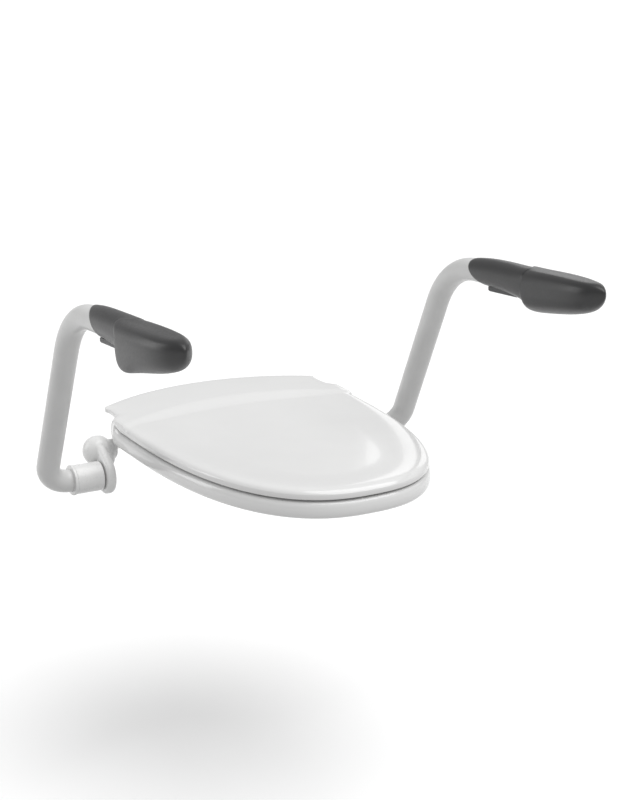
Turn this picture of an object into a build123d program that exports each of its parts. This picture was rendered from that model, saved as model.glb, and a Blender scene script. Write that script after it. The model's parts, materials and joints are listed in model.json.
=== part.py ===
"""Toilet seat with lid and two fold-up arm supports.

Frame: +Z up, -Y towards the nose of the seat, X across it. The origin is midway between the
two mounting slots, on the underside of the mounting plate, which is the plane of the bowl rim.
The parts of the left and right side mirror each other in the plane X = 0.
"""
import os
from math import acos, atan2, cos, hypot, pi, radians, sin

from build123d import *

# ---- seat and lid, seen from above -------------------------------------------------------
RING_HALF_WIDTH = 181.0
RING_NOSE_Y = -446.0
WIDEST_Y = -37.0           # where the curved front ends and the straight side begins
NOSE_POWER = 2.93          # roundness of the front along Y
SIDE_POWER = 2.44          # roundness of the front along X
LID_INSET = 2.4            # the lid is this much smaller than the ring all round
RING_REAR_Y = -24.0
OPENING_HALF_WIDTH = 112.0
OPENING_HALF_LENGTH = 150.0
OPENING_CENTRE_Y = -235.0

# ---- seat and lid, heights ---------------------------------------------------------------
BUFFER_HEIGHT = 14.5       # seat ring above the bowl rim
RING_THICKNESS = 22.5
LID_GAP = 2.5              # open line between ring and lid
LID_HEIGHT = 13.0          # lid rim over its front part
BAND_RISE = 4.5            # the rear band stands this much above the front part
LID_WALL = 5.0
RING_ROUND = 8.0
RING_BASE_ROUND = 6.0
BAND_ROUND = 3.5

# ---- rear of the lid ---------------------------------------------------------------------
NOTCH_Y = -14.0
NOTCH_DEPTH = 7.5
WING_Y = 16.0
WING_INSET = 9.0
WING_ROUND = 8.0
LID_REAR_Y = 78.0
CREASE_Y = -48.0           # front edge of the raised band on the centre line
CREASE_SAG = 22.0          # how much further forward that edge is at the sides
LID_RELIEF_Y = -42.0       # behind this the lid skirt is short, clear of ear and hinge
LID_RELIEF_Z = 50.0

# ---- ears of the ring at its rear corners ------------------------------------------------
EAR_RADIUS = 12.0
EAR_X = 161.0
EAR_Y = -12.0
EAR_TOP_Z = 45.0
EAR_ROUND = 5.0

# ---- hinge of seat and lid ---------------------------------------------------------------
HINGE_Y = 40.0
HINGE_Z = 40.0
ROD_DIAMETER = 8.0
ROD_LENGTH = 236.0
BUSH_WALL = 1.5
RUNNING = 0.05             # radial clearance of everything that turns
FIT = 0.02                 # radial clearance of everything that is pressed in or fixed
KNUCKLE_RADIUS = 7.5
POST_X = 97.0
POST_WIDTH = 12.0
RING_KNUCKLE_X = 110.5
LID_KNUCKLE_X = 82.0
KNUCKLE_WIDTH = 12.0
CAP_LENGTH = 5.0

# ---- mounting plate ----------------------------------------------------------------------
SLOT_SPACING = 155.0
SLOT_WIDTH = 8.5
SLOT_LENGTH = 20.0
PLATE_THICKNESS = 5.0
PLATE_FRONT_Y = -20.0
PLATE_REAR_Y = 14.0
PLATE_HALF_LENGTH = 160.0
TONGUE_END_X = 195.0
TONGUE_WIDTH = 18.0
TONGUE_LIFT = 1.0          # the tongues stay clear of the bowl rim
POST_BASE_HEIGHT = 5.0
POST_STEM_FRONT_Y = 2.0
POST_STEM_DEPTH = 10.0
POST_FOOT_WIDTH = 30.0
POST_FOOT_DEPTH = 26.0
POST_SCREW_DIAMETER = 5.0
POST_SCREW_SPACING = 14.0
POST_SCREW_HEAD = 2.5

# ---- pivot housings of the arms ----------------------------------------------------------
HOUSING_Y = -5.0
HOUSING_Z = 0.0
HOUSING_RADIUS = 20.0
HOUSING_INNER_X = 182.0
HOUSING_END_X = 212.0
NECK_RADIUS = 13.5
NECK_INNER_X = 166.0
LUG_INNER_X = 186.0
LUG_THICKNESS = 14.0
LUG_RADIUS = 27.0
LUG_TOP_RADIUS = 19.0
LUG_ROUND = 5.0
GRUB_DIAMETER = 6.0
GRUB_X = 174.0
GRUB_LENGTH = 11.0

# ---- arm pivots --------------------------------------------------------------------------
PIVOT_Y = -36.0
PIVOT_Z = -26.0
PIN_DIAMETER = 16.0
PIN_END_X = 243.0
WASHER_THICKNESS = 1.4
WASHER_RADIUS = 13.0
SIDE_GAP = 0.3             # free play along the pin
CIRCLIP_X = 240.0
CIRCLIP_THICKNESS = 1.2
CIRCLIP_RADIUS = 10.5
GROOVE_DEPTH = 1.0

# ---- arms --------------------------------------------------------------------------------
TUBE_DIAMETER = 32.0
TUBE_WALL = 2.0
ARM_X = 282.0              # plane in which upright and arm rest lie
ELBOW_RADIUS = 36.0
SHOULDER_Y = -170.0        # where the centre lines of upright and arm rest meet
SHOULDER_Z = 249.5
SHOULDER_RADIUS = 115.0
REST_TILT = 4.2            # the arm rest climbs towards its front, degrees
TUBE_IN_PAD = 235.0
PAD_START = 91.0           # from the shoulder point along the arm rest
SLEEVE_OUTER_X = 241.0
SLEEVE_DIAMETER = 41.0
COLLAR_DIAMETER = 42.6
COLLAR_WIDTH = 4.0
SLEEVE_ROUND = 1.0
COLLAR_ROUND = 1.0
SLEEVE_SCREW_DIAMETER = 5.0
SLEEVE_SCREW_X = 224.0
PLUG_DEPTH = 14.0
PLUG_RIM = 3.0

# ---- arm pads ----------------------------------------------------------------------------
PAD_GRIP_RADIUS = 17.6
PAD_SLANT_UP = 1.0         # how fast the rear end moves back with height
PAD_SLANT_IN = 0.8         # and towards the seat
PAD_GRIP_LENGTH = 94.0
PAD_LENGTH = 268.0
PAD_GRIP_END_HEIGHT = 40.0
PAD_GRIP_END_WIDTH = 38.0
PAD_BODY_WIDTH = 50.0
PAD_BODY_HEIGHT = 54.0
PAD_TOP = 21.0             # top of the wide part above the tube's centre line
PAD_CORNER = 17.0
PAD_OUTWARD = 5.0          # the wide front part is shifted outwards
CLIP_START = 19.0          # from the start of the pad
CLIP_LENGTH = 66.0
CLIP_WIDTH = 17.0
CLIP_DEPTH = 7.0
CLIP_SCREW_DIAMETER = 4.0
CLIP_SCREW_HEAD = 7.0
CLIP_SCREW_SPACING = 40.0
CLIP_SCREW_SINK = 5.0
CLIP_SCREW_REACH = 8.0
CLIP_SEAT = 1.0            # the clip is let into the pad this far
CLIP_ROUND = 3.0

# ---- buffers -----------------------------------------------------------------------------
BUFFER_RADIUS = 10.0
SEAT_BUFFERS = [(126.0, -262.0), (142.0, -120.0)]
LID_BUFFER_RADIUS = 7.0
LID_BUFFERS = [(92.0, -352.0), (148.0, -150.0)]
BUFFER_ROUND = 2.0
BUFFER_CLEARANCE = 0.3

# ---- sizes that follow from those above --------------------------------------------------
RING_TOP_Z = BUFFER_HEIGHT + RING_THICKNESS
LID_BASE_Z = RING_TOP_Z + LID_GAP
LID_TOP_Z = LID_BASE_Z + LID_HEIGHT
BAND_TOP_Z = LID_TOP_Z + BAND_RISE
BUSH_RADIUS = ROD_DIAMETER / 2 + RUNNING + BUSH_WALL
WASHER_X = LUG_INNER_X + LUG_THICKNESS + SIDE_GAP
SLEEVE_INNER_X = WASHER_X + WASHER_THICKNESS + SIDE_GAP
TUBE_BORE = TUBE_DIAMETER - 2 * TUBE_WALL
SIDES = (("left", -1), ("right", 1))

rest_dir = Vector(0, -cos(radians(REST_TILT)), sin(radians(REST_TILT)))


def front_points(half_width, nose_y, count=7):
    """Points of the rounded front, from the right side round the nose to the left side."""
    right = []
    for i in range(count):
        turn = pi / 2 * i / (count - 1)
        x = half_width * max(cos(turn), 0.0) ** (2 / SIDE_POWER)
        y = WIDEST_Y - (WIDEST_Y - nose_y) * sin(turn) ** (2 / NOSE_POWER)
        right.append((x, y))
    right[-1] = (0.0, nose_y)
    return right + [(-x, y) for x, y in reversed(right[:-1])]


def side_plane(x):
    """Sketch plane square to X, with its own axes along Y and Z of the model."""
    return Plane(origin=(x, 0, 0), x_dir=(0, 1, 0), z_dir=(1, 0, 0))


def rest_plane(side, distance):
    """Plane square to the arm rest, at a distance in front of the shoulder point."""
    start = Vector(side * ARM_X, SHOULDER_Y, SHOULDER_Z) + rest_dir * distance
    return Plane(origin=start, x_dir=(1, 0, 0), z_dir=rest_dir)


def save(part, name):
    part.label = name
    export_step(part, f"parts/{name}.step")


os.makedirs("parts", exist_ok=True)

# ---- seat ring ---------------------------------------------------------------------------
with BuildPart() as seat_ring:
    with BuildSketch(Plane.XY.offset(BUFFER_HEIGHT)):
        with BuildLine():
            front = Spline(
                *front_points(RING_HALF_WIDTH, RING_NOSE_Y), tangents=[(0, -1), (0, 1)]
            )
            Polyline(front @ 1, (-RING_HALF_WIDTH, RING_REAR_Y), (RING_HALF_WIDTH, RING_REAR_Y), front @ 0)
        make_face()
        with Locations((0, OPENING_CENTRE_Y)):
            Ellipse(OPENING_HALF_WIDTH, OPENING_HALF_LENGTH, mode=Mode.SUBTRACT)
    extrude(amount=RING_THICKNESS)
    fillet(seat_ring.edges().filter_by(Axis.Z), radius=10)
    fillet(seat_ring.faces().sort_by(Axis.Z)[-1].edges(), radius=RING_ROUND)
    fillet(seat_ring.faces().sort_by(Axis.Z)[0].edges(), radius=RING_BASE_ROUND)
    for name, side in SIDES:
        # ear that fills the notch under the wing of the lid
        with BuildSketch(Plane.XY.offset(BUFFER_HEIGHT)):
            with Locations((side * EAR_X, EAR_Y)):
                Circle(EAR_RADIUS)
            with Locations((side * EAR_X, (EAR_Y + RING_REAR_Y - 12) / 2)):
                Rectangle(2 * EAR_RADIUS, EAR_Y - RING_REAR_Y + 12)
        ear = extrude(amount=EAR_TOP_Z - BUFFER_HEIGHT)
    fillet(seat_ring.faces().filter_by(Axis.Z).sort_by(Axis.Z)[-2:].edges(), radius=EAR_ROUND)
    for name, side in SIDES:
        # hinge arm from the rear bar of the ring back to the rod
        with BuildSketch(side_plane(side * RING_KNUCKLE_X - KNUCKLE_WIDTH / 2)):
            with BuildLine():
                Polyline(
                    (RING_REAR_Y - 12, BUFFER_HEIGHT + 4),
                    (RING_REAR_Y + 8, BUFFER_HEIGHT + 4),
                    (HINGE_Y, HINGE_Z - KNUCKLE_RADIUS),
                    (HINGE_Y, HINGE_Z + KNUCKLE_RADIUS),
                    (RING_REAR_Y - 12, RING_TOP_Z - 1),
                    close=True,
                )
            make_face()
            with Locations((HINGE_Y, HINGE_Z)):
                Circle(KNUCKLE_RADIUS)
        extrude(amount=KNUCKLE_WIDTH)
    with BuildSketch(side_plane(0)):
        with Locations((HINGE_Y, HINGE_Z)):
            Circle(BUSH_RADIUS + FIT)
    extrude(amount=RING_KNUCKLE_X + KNUCKLE_WIDTH, both=True, mode=Mode.SUBTRACT)
save(seat_ring.part, "seat_ring")

with BuildPart() as seat_buffers:
    for x, y in SEAT_BUFFERS:
        for name, side in SIDES:
            with BuildSketch(Plane.XY):
                with Locations((side * x, y)):
                    Circle(BUFFER_RADIUS)
            extrude(amount=BUFFER_HEIGHT - FIT)
    fillet(seat_buffers.faces().filter_by(Axis.Z).group_by(Axis.Z)[0].edges(), radius=BUFFER_ROUND)
save(seat_buffers.part, "seat_buffers")


def hinge_bushes(centre_x):
    """The two plain bushes that turn on the hinge rod."""
    with BuildPart() as bushes:
        for name, side in SIDES:
            with BuildSketch(side_plane(side * centre_x - KNUCKLE_WIDTH / 2)):
                with Locations((HINGE_Y, HINGE_Z)):
                    Circle(BUSH_RADIUS)
                    Circle(ROD_DIAMETER / 2 + RUNNING, mode=Mode.SUBTRACT)
            extrude(amount=KNUCKLE_WIDTH)
    return bushes.part


save(hinge_bushes(RING_KNUCKLE_X), "seat_hinge_bushes")
save(hinge_bushes(LID_KNUCKLE_X), "lid_hinge_bushes")

# ---- lid ---------------------------------------------------------------------------------
lid_half_width = RING_HALF_WIDTH - LID_INSET
lid_nose_y = RING_NOSE_Y + LID_INSET
wing_x = lid_half_width - WING_INSET
notch_x = lid_half_width - NOTCH_DEPTH
wing_rear_y = WING_Y + WING_ROUND


def lid_face(inset):
    """Outline of the lid, drawn inwards by the inset."""
    with BuildSketch() as outline:
        with BuildLine():
            front = Spline(
                *front_points(lid_half_width - inset, lid_nose_y + inset), tangents=[(0, -1), (0, 1)]
            )
            rear = ThreePointArc(
                (-wing_x + inset, wing_rear_y - inset),
                (0, LID_REAR_Y - inset),
                (wing_x - inset, wing_rear_y - inset),
            )
            Spline(
                front @ 1,
                (-notch_x + inset, NOTCH_Y),
                rear @ 0,
                tangents=[(0, 1), (-0.35, 1)],
            )
            Spline(
                rear @ 1,
                (notch_x - inset, NOTCH_Y),
                front @ 0,
                tangents=[(-0.35, -1), (0, -1)],
            )
        make_face()
        tips = [v for v in outline.vertices() if v.Y > WING_Y - inset]
        fillet(tips, radius=max(WING_ROUND - inset, 2.0))
    return outline.sketch


with BuildPart() as lid_shell:
    with BuildSketch(Plane.XY.offset(LID_BASE_Z)):
        add(lid_face(0))
    extrude(amount=LID_HEIGHT)
    with BuildSketch(Plane.XY.offset(LID_TOP_Z - 1)) as band:
        add(lid_face(0))
        with BuildLine():
            edge = ThreePointArc(
                (-2 * lid_half_width, CREASE_Y - 4 * CREASE_SAG),
                (0, CREASE_Y),
                (2 * lid_half_width, CREASE_Y - 4 * CREASE_SAG),
            )
            Polyline(
                edge @ 1,
                (2 * lid_half_width, 2 * LID_REAR_Y),
                (-2 * lid_half_width, 2 * LID_REAR_Y),
                edge @ 0,
            )
        make_face(mode=Mode.INTERSECT)
    extrude(amount=BAND_RISE + 1)
    fillet(lid_shell.faces().sort_by(Axis.Z)[-1].edges(), radius=BAND_ROUND)
    with BuildSketch(Plane.XY.offset(LID_BASE_Z)):
        add(lid_face(LID_WALL))
    extrude(amount=LID_HEIGHT - LID_WALL, mode=Mode.SUBTRACT)
    # the rear part is hollow up to the raised band, to make room for the hinge
    with BuildSketch(Plane.XY.offset(LID_BASE_Z)):
        add(lid_face(LID_WALL))
        with Locations((0, LID_RELIEF_Y + LID_REAR_Y)):
            Rectangle(4 * RING_HALF_WIDTH, 2 * LID_REAR_Y, mode=Mode.INTERSECT)
    extrude(amount=BAND_TOP_Z - LID_WALL - LID_BASE_Z, mode=Mode.SUBTRACT)
    with BuildSketch(Plane.XY.offset(LID_BASE_Z)):
        with Locations((0, LID_RELIEF_Y + LID_REAR_Y)):
            Rectangle(4 * RING_HALF_WIDTH, 2 * LID_REAR_Y)
    extrude(amount=LID_RELIEF_Z - LID_BASE_Z, mode=Mode.SUBTRACT)
    for name, side in SIDES:
        with BuildSketch(side_plane(side * LID_KNUCKLE_X - KNUCKLE_WIDTH / 2)):
            with Locations((HINGE_Y, HINGE_Z)):
                Circle(KNUCKLE_RADIUS)
            with Locations((HINGE_Y, (HINGE_Z + BAND_TOP_Z - LID_WALL + 1) / 2)):
                Rectangle(2 * KNUCKLE_RADIUS, BAND_TOP_Z - LID_WALL + 1 - HINGE_Z)
        extrude(amount=KNUCKLE_WIDTH)
    with BuildSketch(side_plane(0)):
        with Locations((HINGE_Y, HINGE_Z)):
            Circle(BUSH_RADIUS + FIT)
    extrude(amount=LID_KNUCKLE_X + KNUCKLE_WIDTH, both=True, mode=Mode.SUBTRACT)
save(lid_shell.part, "lid_shell")

with BuildPart() as lid_buffers:
    for x, y in LID_BUFFERS:
        for name, side in SIDES:
            with BuildSketch(Plane.XY.offset(RING_TOP_Z + BUFFER_CLEARANCE)):
                with Locations((side * x, y)):
                    Circle(LID_BUFFER_RADIUS)
            extrude(amount=LID_TOP_Z - LID_WALL - FIT - RING_TOP_Z - BUFFER_CLEARANCE)
    fillet(lid_buffers.faces().filter_by(Axis.Z).group_by(Axis.Z)[0].edges(), radius=BUFFER_ROUND)
save(lid_buffers.part, "lid_buffers")

# ---- mounting plate ----------------------------------------------------------------------
plate_depth = PLATE_REAR_Y - PLATE_FRONT_Y
post_foot_x = POST_X - POST_WIDTH / 2 + POST_FOOT_WIDTH / 2
post_foot_y = PLATE_REAR_Y - 1 - POST_FOOT_DEPTH / 2
post_screw_x = POST_X + POST_WIDTH / 2 + (POST_FOOT_WIDTH - POST_WIDTH) / 2
post_screws_at = [
    (side * post_screw_x, post_foot_y + step * POST_SCREW_SPACING / 2)
    for name, side in SIDES
    for step in (-1, 1)
]

with BuildPart() as mounting_plate:
    with BuildSketch(Plane.XY.offset(TONGUE_LIFT)):
        with Locations((0, HOUSING_Y)):
            RectangleRounded(2 * TONGUE_END_X, TONGUE_WIDTH, 4)
    extrude(amount=PLATE_THICKNESS - TONGUE_LIFT)
    with BuildSketch(Plane.XY):
        with Locations((0, (PLATE_REAR_Y + PLATE_FRONT_Y) / 2)):
            RectangleRounded(2 * PLATE_HALF_LENGTH, plate_depth, 4)
    extrude(amount=PLATE_THICKNESS)
    with BuildSketch(Plane.XY):
        with GridLocations(SLOT_SPACING, 0, 2, 1):
            SlotOverall(SLOT_LENGTH, SLOT_WIDTH)
        with Locations(*post_screws_at):
            Circle(POST_SCREW_DIAMETER / 2 + FIT)
    extrude(amount=PLATE_THICKNESS, mode=Mode.SUBTRACT)
save(mounting_plate.part, "mounting_plate")

for name, side in SIDES:
    with BuildPart() as hinge_post:
        with BuildSketch(Plane.XY.offset(PLATE_THICKNESS)):
            with Locations((side * post_foot_x, post_foot_y)):
                RectangleRounded(POST_FOOT_WIDTH, POST_FOOT_DEPTH, 3)
        extrude(amount=POST_BASE_HEIGHT)
        with BuildSketch(side_plane(side * POST_X - POST_WIDTH / 2)):
            with BuildLine():
                Polyline(
                    (POST_STEM_FRONT_Y, PLATE_THICKNESS),
                    (POST_STEM_FRONT_Y, HINGE_Z - KNUCKLE_RADIUS),
                    (POST_STEM_FRONT_Y + KNUCKLE_RADIUS, HINGE_Z + KNUCKLE_RADIUS - 1),
                    (HINGE_Y, HINGE_Z + KNUCKLE_RADIUS - 1),
                    (HINGE_Y, HINGE_Z - KNUCKLE_RADIUS + 1),
                    (POST_STEM_FRONT_Y + POST_STEM_DEPTH + 3, HINGE_Z - KNUCKLE_RADIUS + 1),
                    (POST_STEM_FRONT_Y + POST_STEM_DEPTH, HINGE_Z - KNUCKLE_RADIUS - 2),
                    (POST_STEM_FRONT_Y + POST_STEM_DEPTH, PLATE_THICKNESS),
                    close=True,
                )
            make_face()
            with Locations((HINGE_Y, HINGE_Z)):
                Circle(KNUCKLE_RADIUS - 1)
                Circle(ROD_DIAMETER / 2 + FIT, mode=Mode.SUBTRACT)
        extrude(amount=POST_WIDTH)
        with Locations(*[(x, y, PLATE_THICKNESS + POST_BASE_HEIGHT) for x, y in post_screws_at]):
            Hole(POST_SCREW_DIAMETER / 2 + FIT, depth=POST_BASE_HEIGHT)
    save(hinge_post.part, f"hinge_post_{name}")

with BuildPart() as hinge_post_screws:
    with Locations(*[(x, y, 0.5) for x, y in post_screws_at]):
        Cylinder(
            POST_SCREW_DIAMETER / 2,
            PLATE_THICKNESS + POST_BASE_HEIGHT - 0.5,
            align=(Align.CENTER, Align.CENTER, Align.MIN),
        )
    with Locations(*[(x, y, PLATE_THICKNESS + POST_BASE_HEIGHT) for x, y in post_screws_at]):
        Cylinder(
            POST_SCREW_DIAMETER * 0.9, POST_SCREW_HEAD, align=(Align.CENTER, Align.CENTER, Align.MIN)
        )
    top = PLATE_THICKNESS + POST_BASE_HEIGHT + POST_SCREW_HEAD
    with BuildSketch(Plane.XY.offset(top)):
        with Locations(*post_screws_at):
            RegularPolygon(POST_SCREW_DIAMETER * 0.4, 6)
    extrude(amount=-POST_SCREW_HEAD * 0.7, mode=Mode.SUBTRACT)
save(hinge_post_screws.part, "hinge_post_screws")

with BuildPart() as hinge_rod:
    with BuildSketch(side_plane(-ROD_LENGTH / 2)):
        with Locations((HINGE_Y, HINGE_Z)):
            Circle(ROD_DIAMETER / 2)
    extrude(amount=ROD_LENGTH)
    chamfer(hinge_rod.faces().filter_by(Axis.X).edges(), length=0.6)
save(hinge_rod.part, "hinge_rod")

with BuildPart() as rod_end_caps:
    for name, side in SIDES:
        inner = RING_KNUCKLE_X + KNUCKLE_WIDTH / 2 + SIDE_GAP
        with BuildSketch(side_plane(side * inner)):
            with Locations((HINGE_Y, HINGE_Z)):
                Circle(KNUCKLE_RADIUS - 1)
        extrude(amount=side * CAP_LENGTH)
    fillet(rod_end_caps.faces().filter_by(Axis.X).group_by(Axis.X)[0].edges(), radius=1.2)
    fillet(rod_end_caps.faces().filter_by(Axis.X).group_by(Axis.X)[-1].edges(), radius=1.2)
    with BuildSketch(side_plane(-ROD_LENGTH / 2 - FIT)):
        with Locations((HINGE_Y, HINGE_Z)):
            Circle(ROD_DIAMETER / 2 + FIT)
    extrude(amount=ROD_LENGTH + 2 * FIT, mode=Mode.SUBTRACT)
save(rod_end_caps.part, "rod_end_caps")

# ---- arms and what carries them ----------------------------------------------------------
def collar_x(x_from, x_to, outer, inner=0.0, y=PIVOT_Y, z=PIVOT_Z, rounding=0.0):
    """A round bar or sleeve along X, between two values of X, with rounded outer edges."""
    with BuildPart() as round_bar:
        with BuildSketch(side_plane(x_from)):
            with Locations((y, z)):
                Circle(outer)
                if inner > 0:
                    Circle(inner, mode=Mode.SUBTRACT)
        extrude(amount=x_to - x_from)
        if rounding > 0:
            circles = round_bar.edges().filter_by(GeomType.CIRCLE)
            fillet(circles.filter_by(lambda edge: edge.radius > outer - 0.01), radius=rounding)
    return round_bar.part


def arm_wire(side, from_x, to_rest):
    """Centre line of an arm tube, from beside the pivot to a distance along the arm rest."""
    shoulder = Vector(side * ARM_X, SHOULDER_Y, SHOULDER_Z)
    with BuildLine() as line:
        FilletPolyline(
            (side * from_x, PIVOT_Y, PIVOT_Z),
            (side * ARM_X, PIVOT_Y, PIVOT_Z),
            shoulder,
            shoulder + rest_dir * to_rest,
            radius=[ELBOW_RADIUS, SHOULDER_RADIUS],
        )
    return line.line


def arm_bar(side, from_x, to_rest, diameter):
    """A solid bar along the centre line of the arm."""
    with BuildPart() as bar:
        with BuildSketch(side_plane(side * from_x)):
            with Locations((PIVOT_Y, PIVOT_Z)):
                Circle(diameter / 2)
        sweep(path=arm_wire(side, from_x, to_rest))
    return bar.part


def rest_bar(side, start, end, radius):
    """A round bar along the axis of the arm rest."""
    with BuildPart() as bar:
        with BuildSketch(rest_plane(side, start)):
            Circle(radius)
        extrude(amount=end - start)
    return bar.part


def clip_plane(side, distance, height):
    """Plane facing up, square to the arm rest's height, at a distance along it."""
    across = rest_plane(side, distance)
    return Plane(origin=across.origin + across.y_dir * height, x_dir=(1, 0, 0), z_dir=across.y_dir)


def clip_screw_holes(side):
    """Clearance for the clip screws, from the clip up into the tube."""
    with BuildPart() as holes:
        for distance in clip_screws_at:
            with BuildSketch(clip_plane(side, distance, clip_top - CLIP_DEPTH)):
                Circle(CLIP_SCREW_DIAMETER / 2 + FIT)
            extrude(amount=CLIP_DEPTH + TUBE_DIAMETER / 2 - clip_top - TUBE_BORE / 2)
    return holes.part


def lug_tangents():
    """Corners of the straight-sided part of the lug, tangent to its two round ends."""
    run_y = PIVOT_Y - HOUSING_Y
    run_z = PIVOT_Z - HOUSING_Z
    heading = atan2(run_z, run_y)
    spread = acos((LUG_TOP_RADIUS - LUG_RADIUS) / hypot(run_y, run_z))
    corners = []
    for y, z, radius, turn in (
        (HOUSING_Y, HOUSING_Z, LUG_TOP_RADIUS, spread),
        (PIVOT_Y, PIVOT_Z, LUG_RADIUS, spread),
        (PIVOT_Y, PIVOT_Z, LUG_RADIUS, -spread),
        (HOUSING_Y, HOUSING_Z, LUG_TOP_RADIUS, -spread),
    ):
        corners.append((y + radius * cos(heading + turn), z + radius * sin(heading + turn)))
    return corners


def housing_lug(side):
    """The flat lug of a pivot housing, with its edges rounded."""
    with BuildPart() as lug:
        with BuildSketch(side_plane(side * LUG_INNER_X)):
            with Locations((HOUSING_Y, HOUSING_Z)):
                Circle(LUG_TOP_RADIUS)
            with Locations((PIVOT_Y, PIVOT_Z)):
                Circle(LUG_RADIUS)
            with BuildLine():
                Polyline(*lug_tangents(), close=True)
            make_face()
        extrude(amount=side * LUG_THICKNESS)
        fillet(lug.faces().filter_by(Axis.X).edges(), radius=LUG_ROUND)
    return lug.part


def pad_section(side, distance, width, height, drop, outward, corner):
    """One cross section of the pad, square to the arm rest."""
    with BuildSketch(rest_plane(side, distance)) as section:
        with Locations((side * outward, drop)):
            RectangleRounded(width, height, corner)
    return section.sketch


clip_top = -PAD_GRIP_RADIUS + CLIP_SEAT
clip_middle = PAD_START + CLIP_START + CLIP_LENGTH / 2
clip_screws_at = [clip_middle - CLIP_SCREW_SPACING / 2, clip_middle + CLIP_SCREW_SPACING / 2]

for name, side in SIDES:
    dome_x = HOUSING_END_X - HOUSING_RADIUS
    lug_outer_x = LUG_INNER_X + LUG_THICKNESS
    with BuildPart() as pivot_housing:
        with BuildSketch(Plane.XY.offset(HOUSING_Z)):
            with BuildLine():
                start = (side * NECK_INNER_X, HOUSING_Y)
                neck = Polyline(
                    start,
                    (side * NECK_INNER_X, HOUSING_Y + NECK_RADIUS),
                    (side * HOUSING_INNER_X, HOUSING_Y + NECK_RADIUS),
                    (side * HOUSING_INNER_X, HOUSING_Y + HOUSING_RADIUS),
                    (side * dome_x, HOUSING_Y + HOUSING_RADIUS),
                )
                dome = RadiusArc(neck @ 1, (side * HOUSING_END_X, HOUSING_Y), side * HOUSING_RADIUS)
                Line(dome @ 1, start)
            make_face()
        revolve(axis=Axis((0, HOUSING_Y, HOUSING_Z), (1, 0, 0)))
        add(housing_lug(side))
        add(
            collar_x(side * (LUG_INNER_X + 1), side * (lug_outer_x + 1), PIN_DIAMETER / 2 + FIT),
            mode=Mode.SUBTRACT,
        )
        with Locations((0, HOUSING_Y, (PLATE_THICKNESS + TONGUE_LIFT) / 2)):
            Box(
                2 * (TONGUE_END_X + FIT),
                TONGUE_WIDTH + 2 * FIT,
                PLATE_THICKNESS - TONGUE_LIFT + 2 * FIT,
                mode=Mode.SUBTRACT,
            )
        with Locations((side * GRUB_X, HOUSING_Y, TONGUE_LIFT - NECK_RADIUS)):
            Cylinder(GRUB_DIAMETER / 2 + FIT, 2 * NECK_RADIUS, mode=Mode.SUBTRACT)
    save(pivot_housing.part, f"pivot_housing_{name}")

    with BuildPart() as pivot_pin:
        add(collar_x(side * (LUG_INNER_X + 1 + FIT), side * PIN_END_X, PIN_DIAMETER / 2))
        chamfer(pivot_pin.faces().filter_by(Axis.X).edges(), length=0.8)
        add(
            collar_x(
                side * CIRCLIP_X,
                side * (CIRCLIP_X + CIRCLIP_THICKNESS),
                PIN_DIAMETER,
                PIN_DIAMETER / 2 - GROOVE_DEPTH,
            ),
            mode=Mode.SUBTRACT,
        )
    save(pivot_pin.part, f"arm_pivot_pin_{name}")

    with BuildPart() as washer:
        add(
            collar_x(
                side * WASHER_X,
                side * (WASHER_X + WASHER_THICKNESS),
                WASHER_RADIUS,
                PIN_DIAMETER / 2 + RUNNING,
            )
        )
    save(washer.part, f"thrust_washer_{name}")

    with BuildPart() as circlip:
        add(
            collar_x(
                side * (CIRCLIP_X + FIT),
                side * (CIRCLIP_X + CIRCLIP_THICKNESS - FIT),
                CIRCLIP_RADIUS,
                PIN_DIAMETER / 2 - GROOVE_DEPTH + FIT,
            )
        )
        with Locations((side * CIRCLIP_X, PIVOT_Y, PIVOT_Z + CIRCLIP_RADIUS)):
            Box(4 * CIRCLIP_THICKNESS, PIN_DIAMETER / 3, 2 * CIRCLIP_RADIUS, mode=Mode.SUBTRACT)
    save(circlip.part, f"pivot_circlip_{name}")

    with BuildPart() as arm_bush:
        add(
            collar_x(
                side * SLEEVE_INNER_X,
                side * (CIRCLIP_X - SIDE_GAP),
                TUBE_BORE / 2 - FIT,
                PIN_DIAMETER / 2 + RUNNING,
            )
        )
        add(
            collar_x(
                side * (SLEEVE_SCREW_X - SLEEVE_SCREW_DIAMETER / 2 - FIT),
                side * (SLEEVE_SCREW_X + SLEEVE_SCREW_DIAMETER / 2 + FIT),
                TUBE_BORE / 2,
                TUBE_BORE / 2 - 2,
            ),
            mode=Mode.SUBTRACT,
        )
    save(arm_bush.part, f"arm_bush_{name}")

    with BuildPart() as arm_tube:
        add(arm_bar(side, SLEEVE_INNER_X, TUBE_IN_PAD, TUBE_DIAMETER))
        add(arm_bar(side, SLEEVE_INNER_X, TUBE_IN_PAD, TUBE_BORE), mode=Mode.SUBTRACT)
        with Locations((side * SLEEVE_SCREW_X, PIVOT_Y + TUBE_DIAMETER / 2, PIVOT_Z)):
            Cylinder(
                SLEEVE_SCREW_DIAMETER / 2 + FIT, TUBE_DIAMETER / 2, rotation=(90, 0, 0), mode=Mode.SUBTRACT
            )
        add(clip_screw_holes(side), mode=Mode.SUBTRACT)
    save(arm_tube.part, f"arm_tube_{name}")

    with BuildPart() as arm_sleeve:
        add(
            collar_x(
                side * SLEEVE_INNER_X,
                side * (SLEEVE_OUTER_X - FIT),
                SLEEVE_DIAMETER / 2,
                TUBE_DIAMETER / 2 + FIT,
                rounding=SLEEVE_ROUND,
            )
        )
        with Locations((side * SLEEVE_SCREW_X, PIVOT_Y + SLEEVE_DIAMETER / 2, PIVOT_Z)):
            Cylinder(
                SLEEVE_SCREW_DIAMETER / 2 + FIT,
                SLEEVE_DIAMETER / 2,
                rotation=(90, 0, 0),
                mode=Mode.SUBTRACT,
            )
    save(arm_sleeve.part, f"arm_sleeve_{name}")

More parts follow.
